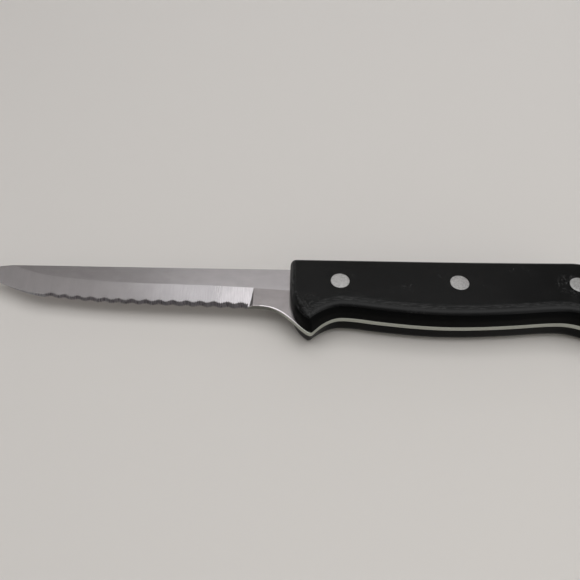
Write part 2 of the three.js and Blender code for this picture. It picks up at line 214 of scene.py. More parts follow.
def smooth(knots, x):
    """A smooth curve y(x) through knots (x, y, slope), straight beyond the first and the last one."""
    xs, ys, slopes = np.array(knots, float).T
    x = np.asarray(x, float)
    i = np.clip(np.searchsorted(xs, x, side="right") - 1, 0, len(xs) - 2)
    run = xs[i + 1] - xs[i]
    t = np.clip((x - xs[i]) / run, 0, 1)
    bend = run * t * (1 - t) * (slopes[i] * (1 - t) - slopes[i + 1] * t)
    outside = np.minimum(x - xs[0], 0) * slopes[0] + np.maximum(x - xs[-1], 0) * slopes[-1]
    return ys[i] + (ys[i + 1] - ys[i]) * smoothstep(t) + bend + outside


def crossing(f, a, b):
    """Where f falls through zero between a and b."""
    for _ in range(50):
        middle = (a + b) / 2
        if f(middle) > 0:
            a = middle
        else:
            b = middle
    return (a + b) / 2


def bezier(points, count):
    """count + 1 points along a Bezier curve of any degree."""
    t = np.linspace(0, 1, count + 1)[:, None]
    layer = [np.asarray(p, float) for p in points]
    while len(layer) > 1:
        layer = [a * (1 - t) + b * t for a, b in zip(layer, layer[1:])]
    return layer[0]


def edge_y(x):
    """Edge of the blade before it is serrated, at x ahead of the scales, where x is negative."""
    knots = [
        (PLUNGE_X, HEEL_Y, HEEL_SLOPE),
        (BLADE_LENGTH - BELLY_LENGTH, BELLY_Y, BELLY_SLOPE),
        (BLADE_LENGTH, POINT_Y, POINT_SLOPE),
    ]
    return smooth(knots, -np.asarray(x, float))


def edge_t(x):
    """Thickness that the bevel leaves at the edge."""
    belly = BLADE_LENGTH - BELLY_LENGTH
    taper = (BELLY_EDGE_T - HEEL_EDGE_T) / (belly - PLUNGE_X)
    knots = [
        (PLUNGE_X, HEEL_EDGE_T, taper),
        (belly, BELLY_EDGE_T, taper),
        (belly + KEEN_RUN, PLAIN_EDGE_T, 0),
    ]
    return smooth(knots, -np.asarray(x, float))


def bevel_slope(x):
    """Fall of the bevel in its thickness over its width."""
    return (STEEL_T - edge_t(x)) / BEVEL_WIDTH


def spine_y(x):
    """Spine of the blade, which drops a little to the point."""
    past = np.maximum(0, -np.asarray(x, float) - (BLADE_LENGTH - POINT_DROP_LENGTH))
    return SPINE_Y - (SPINE_Y - POINT_Y) * (past / POINT_DROP_LENGTH) ** 2


def back_y(x):
    """Back of the handle, which carries the spine's line on to the butt."""
    past = np.maximum(0, np.asarray(x, float) - BACK_STRAIGHT)
    return SPINE_Y + BACK_RISE * (past / (HANDLE_LENGTH - BUTT_DEPTH - BACK_STRAIGHT)) ** 2


def lower_y(x):
    """Lower edge of the handle: guard, forefinger groove, palm swell, rear groove and flared butt."""
    waist = HANDLE_LENGTH - WAIST_BACK
    knots = [
        (GUARD_X, GUARD_Y, GUARD_SLOPE),
        (GROOVE_X, GROOVE_Y, 0),
        (GROOVE_X + FLANK_RUN, FLANK_Y, FLANK_SLOPE),
        (SWELL_X, SWELL_Y, 0),
        (waist - RISE_RUN, RISE_Y, RISE_SLOPE),
        (waist, WAIST_Y, 0),
        (HANDLE_LENGTH - FLARE_BACK, FLARE_Y, FLARE_SLOPE),
        (HANDLE_LENGTH - HOOK_BACK, HOOK_Y, HOOK_SLOPE),
    ]
    return smooth(knots, x)


def front_at(angle, inset):
    """Front edge of the scales: straight, then a quarter ellipse that sweeps back to the guard."""
    reach = GUARD_X + GUARD_LAP
    fall = FRONT_SWEEP_Y - GUARD_Y + GUARD_HANG - inset["guard"]
    x = inset["front"] + inset["sweep"] * math.sin(angle) + reach * (1 - math.cos(angle))
    return np.array([x, FRONT_SWEEP_Y - fall * math.sin(angle)])


def butt_at(angle, inset):
    """Butt: an ellipse from the back, round the rearmost point and on to the lower tip."""
    x = HANDLE_LENGTH - BUTT_DEPTH
    above = inset["back"] if angle < math.pi / 2 else 0
    height = back_y(x) - BUTT_WIDEST_Y - above
    across = (BUTT_DEPTH - BUTT_TRIM - inset["butt"]) * math.sin(angle)
    return np.array([x + across, BUTT_WIDEST_Y + height * math.cos(angle)])


NO_INSET = dict.fromkeys(("palm", "flank", "front", "sweep", "butt", "back", "guard"), 0)


def inset_lower_y(x, inset):
    """The lower edge drawn in; the guard's rear flank has a lean of its own, up to the groove."""
    flank = np.clip((GROOVE_X - np.asarray(x, float)) / (GROOVE_X - GUARD_X), 0, 1) ** 2
    return lower_y(x) + inset["palm"] + inset["flank"] * flank


def height_above(point, inset):
    """How far a point lies above the lower edge."""
    return point[1] - float(inset_lower_y(point[0], inset))


def sweep_tip(inset):
    """The angle at which the front sweep meets the lower edge, in the guard's tip."""
    return crossing(lambda a: height_above(front_at(a, inset), inset), 0, math.pi / 2)


def lower_run(inset):
    """The guard's eased tip and the lower edge, from the front sweep to the butt's lower tip.

    Returns the angle at which the front sweep ends, the run's points and the angle of the butt's tip.
    """
    tip = sweep_tip(inset)
    hook = crossing(lambda a: height_above(butt_at(a, inset), inset), math.pi / 2, HOOK_LIMIT)
    step = 1e-3
    speed = np.linalg.norm(front_at(tip, inset) - front_at(tip - step, inset)) / step
    sweep_end = tip - TIP_EASE / speed
    tip_at = front_at(tip, inset)
    start = tip_at[0] + TIP_EASE
    nose_end = (start, float(inset_lower_y(start, inset)))
    nose = bezier([front_at(sweep_end, inset), tip_at, nose_end], CORNER_STEPS)
    end = butt_at(hook, inset)[0] - HOOK_R
    xs = np.linspace(start, end, LOWER_STEPS + 1)
    lower = np.column_stack([xs, inset_lower_y(xs, inset)])
    return sweep_end, np.vstack([nose, lower[1:]]), hook


def handle_runs(inset):
    """The handle's outline, drawn in along each side: four runs that follow one another anticlockwise."""
    sweep_end, lower, hook = lower_run(inset)
    butt_start = hook - HOOK_R / (float(back_y(HANDLE_LENGTH)) - BUTT_WIDEST_Y)
    tail = bezier([lower[-1], butt_at(hook, inset), butt_at(butt_start, inset)], CORNER_STEPS)
    butt = [butt_at(a, inset) for a in np.linspace(butt_start, 0, BUTT_STEPS + 1)]
    corner_x = inset["front"] + CORNER_R
    xs = np.linspace(HANDLE_LENGTH - BUTT_DEPTH, corner_x, BACK_STEPS + 1)
    back = np.column_stack([xs, back_y(xs) - inset["back"]])
    top = SPINE_Y - inset["back"]
    corner = bezier([back[-1], (inset["front"], top), (inset["front"], top - CORNER_R)], CORNER_STEPS)
    sweep = [front_at(a, inset) for a in np.linspace(0, sweep_end, FRONT_STEPS + 1)]
    return {
        "front": np.vstack([corner[1:], sweep[:-1]]),
        "lower": lower,
        "butt": np.vstack([tail[1:-1], butt]),
        "back": back[1:],
    }


def handle_ring(inset):
    runs = handle_runs(inset)
    return np.vstack([runs["front"], runs["lower"], runs["butt"], runs["back"]])


# Mesh helpers

def at_height(ring, z):
    return [(x, y, z) for x, y in ring]


def add_rings(bm, rings, closed, material=None):
    """Quads between neighbouring rings of equally many points. Returns the rings of vertices."""
    rows = [[bm.verts.new(p) for p in ring] for ring in rings]
    bridge(bm, rows, closed, material)
    return rows


def bridge(bm, rows, closed, material=None):
    for k, (a, b) in enumerate(zip(rows, rows[1:])):
        for i in range(len(a) if closed else len(a) - 1):
            j = (i + 1) % len(a)
            face = bm.faces.new((a[i], a[j], b[j], b[i]))
            if material:
                face.material_index = material(k, i)


def ring_edges(bm, ring, closed):
    pairs = list(zip(ring, ring[1:]))
    if closed:
        pairs.append((ring[-1], ring[0]))
    edges = []
    for a, b in pairs:
        edges.append(bm.edges.get((a, b)) or bm.edges.new((a, b)))
    return edges


def fill(bm, outlines, up):
    """A flat face inside the outlines, of which all but the first are holes."""
    edges = [edge for outline in outlines for edge in ring_edges(bm, outline, True)]
    bmesh.ops.triangle_fill(bm, use_beauty=True, edges=edges, normal=(0, 0, up))


def circle(x, radius, z):
    angles = np.linspace(0, 2 * np.pi, ROUND_SIDES, endpoint=False)
    return [(x + radius * math.cos(a), radius * math.sin(a), z) for a in angles]


def add_object(name, data):
    """An object of the scene that shows a mesh, or is a lamp or camera."""
    thing = bpy.data.objects.new(name, data)
    bpy.context.scene.collection.objects.link(thing)
    return thing


def make_piece(bm, node, materials):
    """Sets a mesh drawn in the layout frame into the model, in the place of one CAD node."""
    bmesh.ops.remove_doubles(bm, verts=bm.verts, dist=WELD)
    bmesh.ops.recalc_face_normals(bm, faces=bm.faces)
    mesh = bpy.data.meshes.new(node + "_finished")
    bm.to_mesh(mesh)
    bm.free()
    mesh.transform(TO_FRAME)
    for material in materials:
        mesh.materials.append(material)
    mesh.shade_smooth()
    mesh.set_sharp_from_angle(angle=SHARP_ANGLE)
    piece = add_object(mesh.name, mesh)
    weighted = piece.modifiers.new("flat_faces_stay_flat", "WEIGHTED_NORMAL")
    weighted.keep_sharp = True
    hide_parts(node)
    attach(piece, "root")
    return piece


# Blade. A section runs from the middle of the spine over the upper side to the edge, and back over the
# flat back. Its rows, counted from the spine on each side:
HELD_ROW = 4  # the spine's corner and the row that holds the flat below it end here
GRIND_ROW = 7  # the bevel starts here
FLUTE_ROW = 10  # the flute, or the easing of a blunt lower corner, starts here
EDGE_ROW = 13  # the edge, or the middle of a blunt lower wall
# The last slot is a painted highlight along the choil's upper corner.
FLAT, GROUND, FLUTED, SHEARED, LINISHED, PAINTED_HIGHLIGHT = range(6)  # the blade's material slots
CUTTING, HEEL, RAMP, RICASSO = range(4)  # its zones


def serration_depth(u):
    """How far the scallops and their fine teeth cut into the edge, u ahead of the scales."""
    phase = (u - SERRATED_FROM) / SCALLOP_PITCH
    scallop = SCALLOP_DEPTH * (1 - np.cos(2 * np.pi * phase)) / 2
    tooth = TOOTH_DEPTH * (1 - np.abs(2 * np.mod(phase * TEETH_PER_SCALLOP, 1) - 1))
    return np.where((phase >= 0) & (phase <= SCALLOPS), scallop + tooth, 0)


def between(a, b, share):
    return a + (b - a) * share


def nook_of(ease):
    """How far the middle of a rounded corner lies in from its sides."""
    return ease * (1 - math.sqrt(0.5))


def eased_spine(x, low, at, side):
    """Rows 1 to 4 of one side: the spine's eased corner and the start of the flat below it.

    at(y) is the side's surface and low the height that the section ends at.
    """
    spine = spine_y(x)
    room = spine - low
    ease = np.minimum(EDGE_EASE, SPINE_EASE_SHARE * room)
    nook = nook_of(ease)
    corner = at(spine)
    below = spine - ease
    held = below - np.minimum(HOLD, HOLD_SHARE * room)
    return [
        (spine, corner - side * ease),
        (spine - nook, corner - side * nook),
        (below, at(below)),
        (held, at(held)),
    ]


def upper_rows(x, low, at):
    """Rows 0 to 8 of the upper side: spine, flat and the turn at the grind line."""
    spine = spine_y(x)
    room = spine - low
    rows = [(spine, (at(spine) - HALF_T) / 2)] + eased_spine(x, low, at, 1)
    least = HOLD_SHARE * room
    hold = np.minimum(HOLD, least)
    soft = np.minimum(GRIND_SOFTNESS, least)
    highest = rows[HELD_ROW][0] - hold - soft - least
    grind = np.minimum(edge_y(x) + BEVEL_WIDTH, highest)
    for y in (grind + soft + hold, grind + soft, grind - soft, grind - soft - hold):
        rows.append((y, at(y)))
    return rows


def back_rows(x, low, end, count):
    """The flat back: its eased spine, and count more rows that go down evenly to end."""
    rows = eased_spine(x, low, lambda y: np.full_like(y, -HALF_T), -1)
    held = rows[-1][0]
    for step in range(1, count + 1):
        y = between(held, end, step / count)
        rows.append((y, np.full_like(y, -HALF_T)))
    return rows


def ground_top(x):
    """The ground upper side, as a function of the height above the rivet line."""
    edge = edge_y(x)
    return lambda y: np.minimum(HALF_T, edge_t(x) - HALF_T + (y - edge) * bevel_slope(x))


def cutting_sections(x):
    """Sections with a sharp edge: scallops and fine teeth, or the plain edge behind the point."""
    edge = edge_y(x)
    keen = edge + serration_depth(-x)
    keen = np.where(-x < SERRATED_FROM + HALF_TOOTH, np.maximum(keen, RICASSO_Y), keen)
    slope = math.tan(math.radians(FLUTE_ANGLE))
    bevel_at = ground_top(x)

    def at(y):
        return np.minimum(bevel_at(y), (y - keen) * slope - HALF_T)

    upper = upper_rows(x, keen, at)
    start = upper[-1][0]
    top = (edge_t(x) + keen * slope - edge * bevel_slope(x)) / (slope - bevel_slope(x))
    top = np.minimum(top, between(keen, start, FLUTE_SHARE))
    bevel = [between(start, top, 0.5), top]
    flute = [between(top, keen, 1 / 3), between(top, keen, 2 / 3), keen]
    upper += [(y, at(y)) for y in bevel + flute]
    return stack(x, upper, back_rows(x, keen, keen, EDGE_ROW - HELD_ROW)[:-1])


def blunt_sections(x, at, low):
    """Sections that end in a wall: the heel and the ricasso."""
    nook = nook_of(EDGE_EASE)
    upper = upper_rows(x, low, at)
    corner = low + EDGE_EASE
    for y in (between(upper[-1][0], corner, 0.5), corner):
        upper.append((y, at(y)))
    end = at(low)
    upper += [(low + nook, end - nook), (low, end - EDGE_EASE), (low, (end - HALF_T) / 2)]
    back = back_rows(x, low, corner, FLUTE_ROW - HELD_ROW)
    base = np.full_like(low, -HALF_T)
    back += [(low + nook, base + nook), (low, base + EDGE_EASE)]
    return stack(x, upper, back)


def stack(xs, upper, back):
    """Closed sections of many stations, from rows that hold one value for each station."""
    rows = upper + back[::-1]
    return [[(x, y[k], z[k]) for y, z in rows] for k, x in enumerate(xs)]


def plunge_sections(heel, ricasso):
    """Sections that climb the plunge's flat ramp, from the heel's rows to the ricasso's."""
    sections = []
    for step in np.linspace(0, 1, PLUNGE_STEPS + 1):
        loop = []
        for row, ((_, y0, z0), (_, y1, z1)) in enumerate(zip(heel, ricasso)):
            ground = (HALF_T - z0) / (STEEL_T - HEEL_EDGE_T) if row <= EDGE_ROW else 0
            share = min(1.0, max(PLUNGE_MIN_SHARE, ground))
            x = -PLUNGE_X - PLUNGE_RUN * share * (1 - step)
            loop.append((x, between(y0, y1, step), between(z0, z1, step)))
        sections.append(loop)
    return sections


def blade_sections():
    """All sections from the point to the choil's start, and the zone that follows each of them."""
    closer = np.sin(np.linspace(math.pi / 2, 0, TIP_STATIONS))
    plain = -SERRATED_TO - (BLADE_LENGTH - POINT_GAP - SERRATED_TO) * closer
    teeth = SCALLOPS * TEETH_PER_SCALLOP * TOOTH_SAMPLES
    serrated = np.linspace(-SERRATED_TO, -SERRATED_FROM, teeth + 1)[1:]
    cutting = cutting_sections(np.concatenate([plain, serrated]))

    heel_x = np.array([-SERRATED_FROM + HEEL_STEP, -SERRATED_FROM + SERRATION_GAP / 2])
    heel = blunt_sections(heel_x, ground_top(heel_x), np.full_like(heel_x, RICASSO_Y))

    ricasso_x = np.array([-PLUNGE_X, -(PLUNGE_X + CHOIL_X) / 2, -CHOIL_X])
    low = np.full_like(ricasso_x, RICASSO_Y)
    ricasso = blunt_sections(ricasso_x, lambda y: np.full_like(y, HALF_T), low)
    plunge = plunge_sections(heel[-1], ricasso[0])
    zones = [CUTTING] * len(cutting) + [HEEL] * len(heel)
    zones += [RAMP] * PLUNGE_STEPS + [RICASSO] * len(ricasso)
    return cutting + heel + plunge + ricasso[1:], zones


def blade_material(zone, row):
    """Material slot of the faces that follow a row, counted round the whole section."""
    if row in (0, 2 * EDGE_ROW - 1):
        return SHEARED
    if row > EDGE_ROW:
        return FLAT
    if row == EDGE_ROW:
        return FLAT if zone == CUTTING else SHEARED
    if row < GRIND_ROW - 1:
        return FLAT
    if row < FLUTE_ROW:
        return {RICASSO: FLAT, RAMP: FLUTED}.get(zone, GROUND)
    if zone == CUTTING:
        return FLUTED
    return FLAT if row < EDGE_ROW - 1 else SHEARED


def tang_path():
    """Outline of ricasso and tang from the choil's start, round the handle and back along the spine.

    Returns its points, how many of them lie along the choil, and the number of the last one between
    the scales.
    """
    runs = handle_runs(NO_INSET)
    guard = front_at(sweep_tip(NO_INSET), NO_INSET)
    start = (-CHOIL_X, RICASSO_Y)
    reach = (-CHOIL_X + CHOIL_REACH, RICASSO_Y)
    choil = bezier([start, reach, (guard[0] - NOSE_REACH, guard[1]), guard], CHOIL_STEPS)
    before = choil[guard[0] - choil[:, 0] > TIP_EASE]
    nose = bezier([before[-1], guard, runs["lower"][CORNER_STEPS]], CORNER_STEPS)
    spine = [(x, SPINE_Y) for x in np.linspace(0, -CHOIL_X, SPINE_STEPS + 1)]
    between_scales = [nose[1:], runs["lower"][CORNER_STEPS + 1:], runs["butt"], runs["back"]]
    last = len(before) + sum(len(run) for run in between_scales)
    return np.vstack([before] + between_scales + [spine]), len(before), last


def inward(path):
    """Unit normals that point into an anticlockwise outline."""
    along = np.gradient(path, axis=0)
    along[0] = (1, 0)
    along[-1] = (-1, 0)
    along /= np.linalg.norm(along, axis=1)[:, None]
    return np.column_stack([-along[:, 1], along[:, 0]])


def rim_ease(count, choil):
    """Rounding of the rim's corners at each of count points, of which the first ones follow the choil."""
    ease = np.full(count, EDGE_EASE)
    along = np.linspace(0, 1, choil)
    grown = np.clip(np.minimum(along, 1 - along) / CHOIL_EASE_RUN, 0, 1)
    ease[:choil] += (CHOIL_EASE - EDGE_EASE) * smoothstep(grown)
    return ease


def rim_rings(path, ease):
    """Rings round the tang's rim, from the upper flat over both eased corners to the lower one."""
    normals = inward(path)

    def ring(inset, drop, side):
        drawn_in = path + normals * (ease * inset)[:, None]
        return [(x, y, side * (HALF_T - e * drop)) for (x, y), e in zip(drawn_in, ease)]

    corner = [(1, 0), (nook_of(1), nook_of(1)), (0, 1)]
    upper = [ring(inset, drop, 1) for inset, drop in corner]
    lower = [ring(inset, drop, -1) for inset, drop in reversed(corner)]
    return upper + [at_height(path, 0)] + lower


def add_tang(bm, last):
    """The plate behind the last section of the grid: eased rim, flats and rivet holes."""
    path, choil, last_between = tang_path()

    def material(k, i):
        # The choil's upper eased corner gets the painted highlight.
        if k < 2 and i < choil:
            return PAINTED_HIGHLIGHT
        return FLAT if k < 2 and i >= last_between else LINISHED

    rows = add_rings(bm, rim_rings(path, rim_ease(len(path), choil)), False, material)
    radius = TUBE_D / 2 + SHANK_CLEARANCE
    holes = {}
    for z in (HALF_T, -HALF_T):
        holes[z] = [[bm.verts.new(p) for p in circle(x, radius, z)] for x in RIVET_X.values()]
    for pair in zip(holes[HALF_T], holes[-HALF_T]):
        bridge(bm, pair, True, lambda k, i: SHEARED)
    upper = last[HELD_ROW:FLUTE_ROW]
    lower = [last[2 * EDGE_ROW - k] for k in range(HELD_ROW, FLUTE_ROW)]
    fill(bm, [rows[0] + upper] + holes[HALF_T], 1)
    fill(bm, [rows[-1] + lower] + holes[-HALF_T], -1)


def make_blade(materials):
    bm = bmesh.new()
    sections, zones = blade_sections()
    rows = add_rings(bm, sections, True, lambda k, i: blade_material(zones[k], i))
    bm.faces.new(rows[0])
    add_tang(bm, rows[-1])
    return make_piece(bm, "blade", materials)


# Scales
MOULDED, WALL = range(2)  # their material slots


def scale_inset(h):
    """Insets of a scale's outline at height h above the tang."""
    up = max(0.0, (h - WALL_H) / (SCALE_T - WALL_H))
    drawn = 1 - max(0.0, 1 - up ** ROUND_POWER) ** (1 / ROUND_POWER)
    over = max(0.0, h - (SCALE_T - BACK_ROUND))
    return {
        "palm": PALM_ROUND * drawn,
        "flank": FLANK_LEAN * h / SCALE_T,
        "front": FRONT_ROUND * drawn,
        "sweep": SWEEP_ROUND * drawn,
        "butt": BUTT_ROUND * drawn,
        "back": BACK_ROUND - math.sqrt(max(0.0, BACK_ROUND ** 2 - over ** 2)),
        "guard": GUARD_LEAN * h / SCALE_T,
    }


def scale_rings(side):
    """Rings from the tang to the flat face, the first one drawn in a little for the seam."""
    seam = dict.fromkeys(NO_INSET, SEAM_EASE)
    rings = [at_height(handle_ring(seam), side * HALF_T)]
    heights = [WALL_H + (SCALE_T - WALL_H) * math.sin(a) for a in np.linspace(0, math.pi / 2, LEVELS)]
    for h in [SEAM_EASE, WALL_H / 2] + heights:
        rings.append(at_height(handle_ring(scale_inset(h)), side * (HALF_T + h)))
    return rings


def add_counterbore(bm, x, side):
    """Wall of one rivet hole. Returns its rims on the tang's side and in the flat face."""
    shank = TUBE_D / 2 + SHANK_CLEARANCE
    head = HEAD_D / 2 + HEAD_CLEARANCE
    profile = [
        (shank, HALF_T),
        (shank, FACE_Z - HEAD_T),
        (head, FACE_Z - HEAD_T),
        (head, FACE_Z - COUNTERBORE_EASE),
        (head + COUNTERBORE_EASE, FACE_Z),
    ]
    rows = add_rings(bm, [circle(x, r, side * z) for r, z in profile], True)
    return rows[0], rows[-1]


def make_scale(name, side, materials):
    bm = bmesh.new()
    rows = add_rings(bm, scale_rings(side), True, lambda k, i: WALL if k < SHADED_WALL_LEVELS else MOULDED)
    rims = [add_counterbore(bm, x, side) for x in RIVET_X.values()]
    fill(bm, [rows[0]] + [rim[0] for rim in rims], -side)
    fill(bm, [rows[-1]] + [rim[1] for rim in rims], side)
    return make_piece(bm, name, materials)


# Rivets

def turned(x, profile):
    """A closed body turned about the rivet's axis from a profile of (radius, z)."""
    bm = bmesh.new()
    rows = add_rings(bm, [circle(x, r, z) for r, z in profile], True)
    bm.faces.new(rows[0])
    bm.faces.new(rows[-1])
    return bm


def head_profile(side):
    """A rivet's head from its underside to its ground face, with the corner eased."""
    radius = HEAD_D / 2
    under = FACE_Z - HEAD_T
    points = [(radius - HEAD_EASE, under), (radius, under + HEAD_EASE)]
    for a in np.linspace(0, math.pi / 2, HEAD_STEPS + 1):
        points.append((radius - HEAD_EASE * (1 - math.cos(a)), FACE_Z - HEAD_EASE * (1 - math.sin(a))))
    points.append((radius / 2, FACE_Z))
    return [(r, side * z) for r, z in points]


def make_rivet(place, material):
    """A pin with its head above and a tube with its head below, each turned from its own profile."""
    x = RIVET_X[place]
    upper_head = FACE_Z - HEAD_T
    lower_head = -FACE_Z + HEAD_T
    floor = lower_head + BORE_FLOOR
    radius = PIN_D / 2
    end = floor + PIN_SHORT
    pin = [(radius - HEAD_EASE, end), (radius, end + HEAD_EASE), (radius, upper_head)]
    make_piece(turned(x, pin + head_profile(1)), f"rivet_{place}_pin", [material])

    shank = TUBE_D / 2
    bore = radius + PIN_CLEARANCE
    mouth = upper_head - TUBE_SHORT
    tube = [(shank, lower_head), (shank, mouth), (bore, mouth), (bore, floor), (bore / 2, floor)]
    make_piece(turned(x, head_profile(-1)[::-1] + tube), f"rivet_{place}_tube", [material])


# Materials. Patterns are laid in the object's own space, in millimetres.
STEEL_TINT = (1.0, 0.957, 0.985)
# Pinker tint and darker greys below: painted shade on the ricasso's lower part
RICASSO_SHADE_TINT = (1.0, 0.935, 0.945)
# Greenish yellow: a painted reflection of the floor on the steel's rims
RIM_REFLECTION_TINT = (0.97, 1.0, 0.9)
COOL_TINT = (0.94, 0.97, 1.0)
RIVET_TINT = (1.0, 0.985, 0.97)
SATIN_GREYS = (0.57, 0.65)
RICASSO_SHADE_GREYS = (0.41, 0.48)
FINE_GREYS = (0.57, 0.67)
# Much lighter grey near the plunge: painted sheen
COARSE_SHEEN_GREYS = (0.68, 0.98)
FLUTED_GREYS = (0.42, 0.6)
# Very dark grey of stamped edges: partly their dullness, partly painted shade
SHEARED_AND_SHADE_GREYS = (0.13, 0.2)
LINISHED_GREYS = (0.42, 0.53)
RIVET_GREYS = (0.4, 0.62)
# Painted highlight on the choil's corner, fading to a darker grey towards the guard
HIGHLIGHT_GREYS = (0.7, 0.96)
HIGHLIGHT_FADED_GREY = 0.36
MOULDED_GREY = 0.0035
# Darker grey of the scales' walls: painted shade
WALL_SHADE_GREYS = (0.0014, 0.0026)
# Light grey of scuffs, and of painted highlights on the scales' front and crease
SCUFF_AND_HIGHLIGHT_GREY = 0.05
SATIN_ROUGHNESS = (0.2, 0.27)
FLUTED_ROUGHNESS = (0.24, 0.34)
SHEARED_ROUGHNESS = (0.36, 0.48)
LINISHED_ROUGHNESS = (0.32, 0.42)
HIGHLIGHT_ROUGHNESS = (0.22, 0.3)
MOULDED_ROUGHNESS = (0.19, 0.25)
WALL_ROUGHNESS = (0.3, 0.42)
RIVET_ROUGHNESS = (0.36, 0.5)
COARSE_ROUGHER = 0.16  # what coarse grinding lines add to the roughness
SCUFF_ROUGHER = 0.15  # and what scuffs add
NOISE_SPAN = (0.3, 0.7)  # most of a noise's values lie in here
WIDE_SPAN = (0.25, 0.75)
COARSE_SPAN = (0.35, 0.65)
RIVET_SPAN = (0.34, 0.62)
CLOUD_SPAN = (0.52, 0.72)
SPECK_SPAN = (0.5, 0.68)
STREAK_SPAN = (0.4, 0.68)
LINE_DEPTH = (0.35, 1.4)  # of the grinding lines, from fine to coarse
HAZE_AND_HIGHLIGHT = (0.45, 1.0)  # strength of the haze on the scales' front, partly wear and partly a painted highlight
RICASSO_RUN = (-0.4, 0.1)  # from the plunge: where the painted shade on the ricasso's lower part starts
RICASSO_BLUR = 0.15  # half the width of the line above that painted shade
COARSE_RUN = (-16.0, -1.0)  # from the plunge: where the bevel's grinding lines get coarse and a painted sheen lightens it
LINISHED_RUN = (-7.0, 1.0)  # from the scales: where the rim's dark, partly painted shade turns into bright linished steel
HIGHLIGHT_FADE_RUN = (-1.0, 5.0)  # and where the painted highlight on the choil's corner fades out
CHAFED_FROM = 0.3  # and where the haze and painted highlight on their front start to fade out
CHAFED_TO = 2.2
CREASE_TOP = (0.03, 0.002)  # depths under the upper face, between which its worn crease, partly a painted highlight, begins
CREASE_FOOT = (0.3, 0.12)  # and between which it ends
GUARD_SCUFF = {"x": GUARD_X - 1.5, "y": GUARD_Y + 6.5, "inner": 2.0, "outer": 6.5}
REAR_SCUFF = {"x": RIVET_X["rear"] - 3.0, "y": 0.0, "inner": 1.5, "outer": 6.0}
GUARD_WEAR = 0.45
CLOUD_WEAR = 0.4
# Streaks along the crease: partly wear, partly a painted highlight
STREAK_WEAR_AND_HIGHLIGHT = 0.5
PLASTIC_IOR = 1.45
MOULDED_SHINE = 0.27
# Low shine of the walls: painted shade; the upper scale's walls get less than the lower one's, though the
# plastic is the same
UPPER_WALL_SHADE_SHINE = 0.04
LOWER_WALL_SHADE_SHINE = 0.11


def grey(value, tint=(1.0, 1.0, 1.0)):
    return (value * tint[0], value * tint[1], value * tint[2], 1.0)


